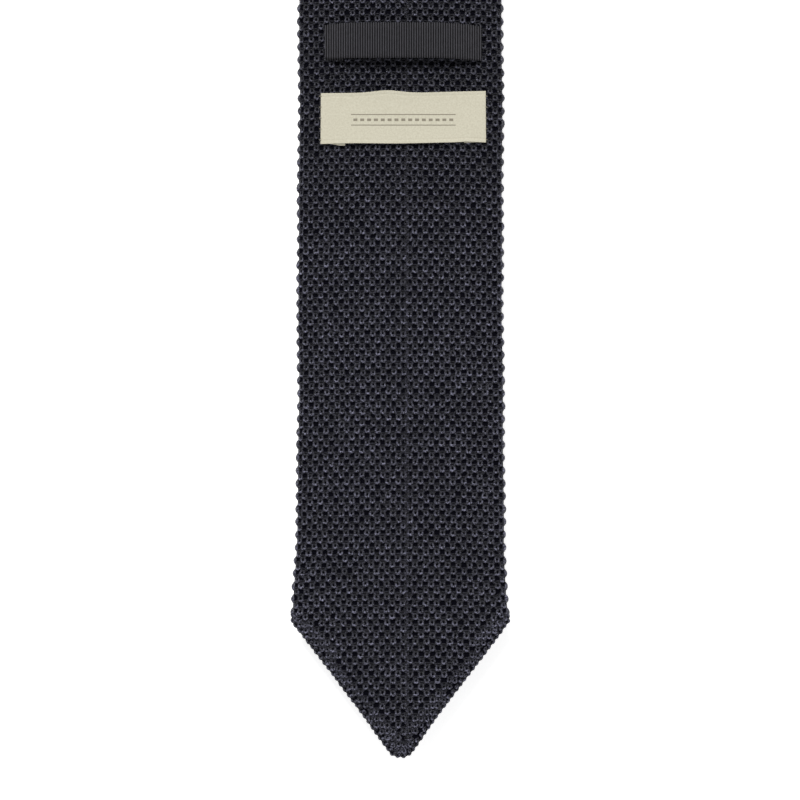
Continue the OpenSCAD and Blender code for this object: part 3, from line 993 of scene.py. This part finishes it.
def label_piece():
    """The label's woven strip. It swells a little left of the middle, and a groove runs inside each
    selvedge."""
    across = np.linspace(-1, 1, 161)[None, :]
    up = np.linspace(0, 1, 81)[:, None]
    bottom = label_y - LABEL_TALL / 2 + label_bottom(across)
    top = label_y + LABEL_TALL / 2 + label_top(across)
    x = label_x + across * LABEL_HALF * (1 + 0.004 * (1 - up))
    y = bottom + (top - bottom) * up
    swell = 0.55 * MM * np.exp(-((across + 0.20) / 0.25) ** 2) * up ** 2
    swell = swell + 0.10 * MM * np.sin(9 * across + 2 * up)
    groove = 0.10 * MM * np.exp(-((np.abs(2 * up - 1) - 0.86) / 0.025) ** 2)
    z = cloth_top + 0.62 * MM + swell + 0.25 * MM * bow(across, 6) * (1 - bow(2 * up - 1, 4)) - groove
    return slab("label_cloth", x, y, z, LABEL_T)


def flap_piece(end, side, reach, drop):
    """One end of the label, folded under it. reach is its length, and it sinks by drop towards its end."""
    t = np.linspace(0, 1, 25)[None, :]
    v = np.linspace(0, 1, 13)[:, None]
    x = label_x + side * (LABEL_HALF - 0.15 * MM - reach * t) + 0 * v
    base = label_y - LABEL_TALL / 2 + label_bottom(side * (1 - reach / LABEL_HALF * t))
    y = base + 0.1 * MM - drop * np.clip(2 * t - 0.6, 0, 1) + (LABEL_TALL - 1.5 * MM) * v
    z = cloth_top + 0.25 * MM + 0.05 * MM * np.sin(30 * t) + 0 * v
    if side > 0:
        x, y, z = x[:, ::-1], y[:, ::-1], z[:, ::-1]
    flap = slab(f"label_end_flap_{end}", x, y, z, FLAP_T)
    dress(flap, LABEL_CLOTH)
    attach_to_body(flap, "blade")
    return flap


label = label_piece()
dress(label, LABEL_CLOTH)
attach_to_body(label, "blade")
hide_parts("label")
flaps = [flap_piece("left", -1, 7.7 * MM, 0.75 * MM), flap_piece("right", 1, 6.9 * MM, 0.45 * MM)]
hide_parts("label_end_flaps")

THREAD_CREAM = knit_material("label_thread", srgb(176, 168, 145), srgb(214, 207, 186))
places = stitch_places(label_x, LABEL_HALF + 0.05 * MM, label_y, LABEL_STITCH, cloth_top + 0.35 * MM)
label_stitches = thread("label_tacking", places, 1.0 * MM, 0.75 * MM, THREAD_CREAM,
                        radius=0.08 * MM)
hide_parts("label_stitches")

# Each CAD node is hidden by the piece that stands for it.
STANDS_FOR = {
    "blade_back_left_loops_low": "blade_back_left", "blade_back_right_loops_low": "blade_back_right",
    "blade_point_edge_loops": "blade_tip_hem", "tail_point_edge_loops": "tail_tip_hem",
}
for body in ("blade", "crown", "upper", "neck", "tail"):
    STANDS_FOR[f"{body}_front_loops"] = f"{body}_front"
    STANDS_FOR[f"{body}_seam_stitches"] = f"{body}_seam"
    for end, _ in SIDES if body != "blade" else ():
        STANDS_FOR[f"{body}_back_{end}_loops"] = f"{body}_back_{end}"
for name, turn, _, _ in TURNS:
    outside, inside = ("back", "front") if turn.out > 0 else ("front", "back")
    STANDS_FOR[f"{name}_turn_loops"] = f"{name}_turn_{outside}"
    STANDS_FOR[f"{name}_turn_ground"] = f"{name}_turn_{inside}"
for piece, cad_node in STANDS_FOR.items():
    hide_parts(cad_node)


def knit_sheet(ground, flat, first, last, rests_on, *starts):
    """Works out the width of a stretch of the knitted tube, flattened, along its length, and keeps nothing of
    it.
    """
    y = np.linspace(first, last, 400)
    wide = 2 * (flat.outline(y) - GROUND_EDGE)


STRETCHES = (
    ("blade", blade, blade.start, zone_low, ["upper_front_loops"], "blade_"),
    ("lift", blade, zone_low, zone_high, ["upper_front_loops"], "lift_"),
    ("crown", blade, zone_high, blade.end, ["upper_front_loops"], "crown_", "first_turn_"),
    ("upper", upper, upper.start, upper.end, ["neck_front_loops"], "upper_", "second_turn_"),
    ("neck", neck, neck.start, neck.end, ["tail_front_loops"], "neck_", "third_turn_"),
    ("tail", tail, tail.start, tail.end, [], "tail_"),
)
SHEETS = [bpy.data.objects[f"{part}_ground"] for part, *_ in STRETCHES]
for ground, (_, *stretch) in zip(SHEETS, STRETCHES):
    knit_sheet(ground, *stretch)


# ---------------------------------------------------------------- camera, floor and light

camera = bpy.data.objects.new("camera", bpy.data.cameras.new("camera"))
bpy.context.collection.objects.link(camera)
camera.data.lens = CAMERA_LENS
camera.location = (CAMERA_SIDE, blade.start + CAMERA_REACH, cloth_top + CAMERA_HEIGHT)
camera.rotation_euler = (0, 0, 0)
camera.data.clip_start, camera.data.clip_end = 0.01, 20
bpy.context.scene.camera = camera


def floor_material():
    """Matt and nearly white, with a glow of its own, so that it shows as the photograph's background."""
    m, _, shader = new_material("pale_floor")
    shader.inputs["Base Color"].default_value = (0.88, 0.88, 0.88, 1)
    shader.inputs["Roughness"].default_value = 0.9
    shader.inputs["Emission Color"].default_value = (1, 1, 1, 1)
    shader.inputs["Emission Strength"].default_value = 0.68
    return m


bpy.ops.mesh.primitive_plane_add(size=8, location=(0, 0, -FLOOR_DROP))
floor = bpy.context.object
floor.name = "floor"
floor.data.materials.append(floor_material())


def area_light(name, place, size, power):
    """A square lamp at place that points at the origin."""
    lamp = bpy.data.lights.new(name, "AREA")
    lamp.size, lamp.energy = size, power
    ob = bpy.data.objects.new(name, lamp)
    bpy.context.collection.objects.link(ob)
    ob.location = place
    ob.rotation_mode = "QUATERNION"
    ob.rotation_quaternion = (-Vector(place)).to_track_quat("-Z", "Y")


area_light("key", place=(-0.25, 0.95, 1.75), size=0.5, power=26)
area_light("fill", place=(1.2, -1.0, 1.6), size=1.6, power=4)
world = bpy.data.worlds.new("studio")
bpy.context.scene.world = world
world.use_nodes = True
background = world.node_tree.nodes["Background"]
background.inputs["Color"].default_value = (1, 1, 1, 1)
background.inputs["Strength"].default_value = 0.4
bpy.context.scene.view_settings.view_transform = "Standard"
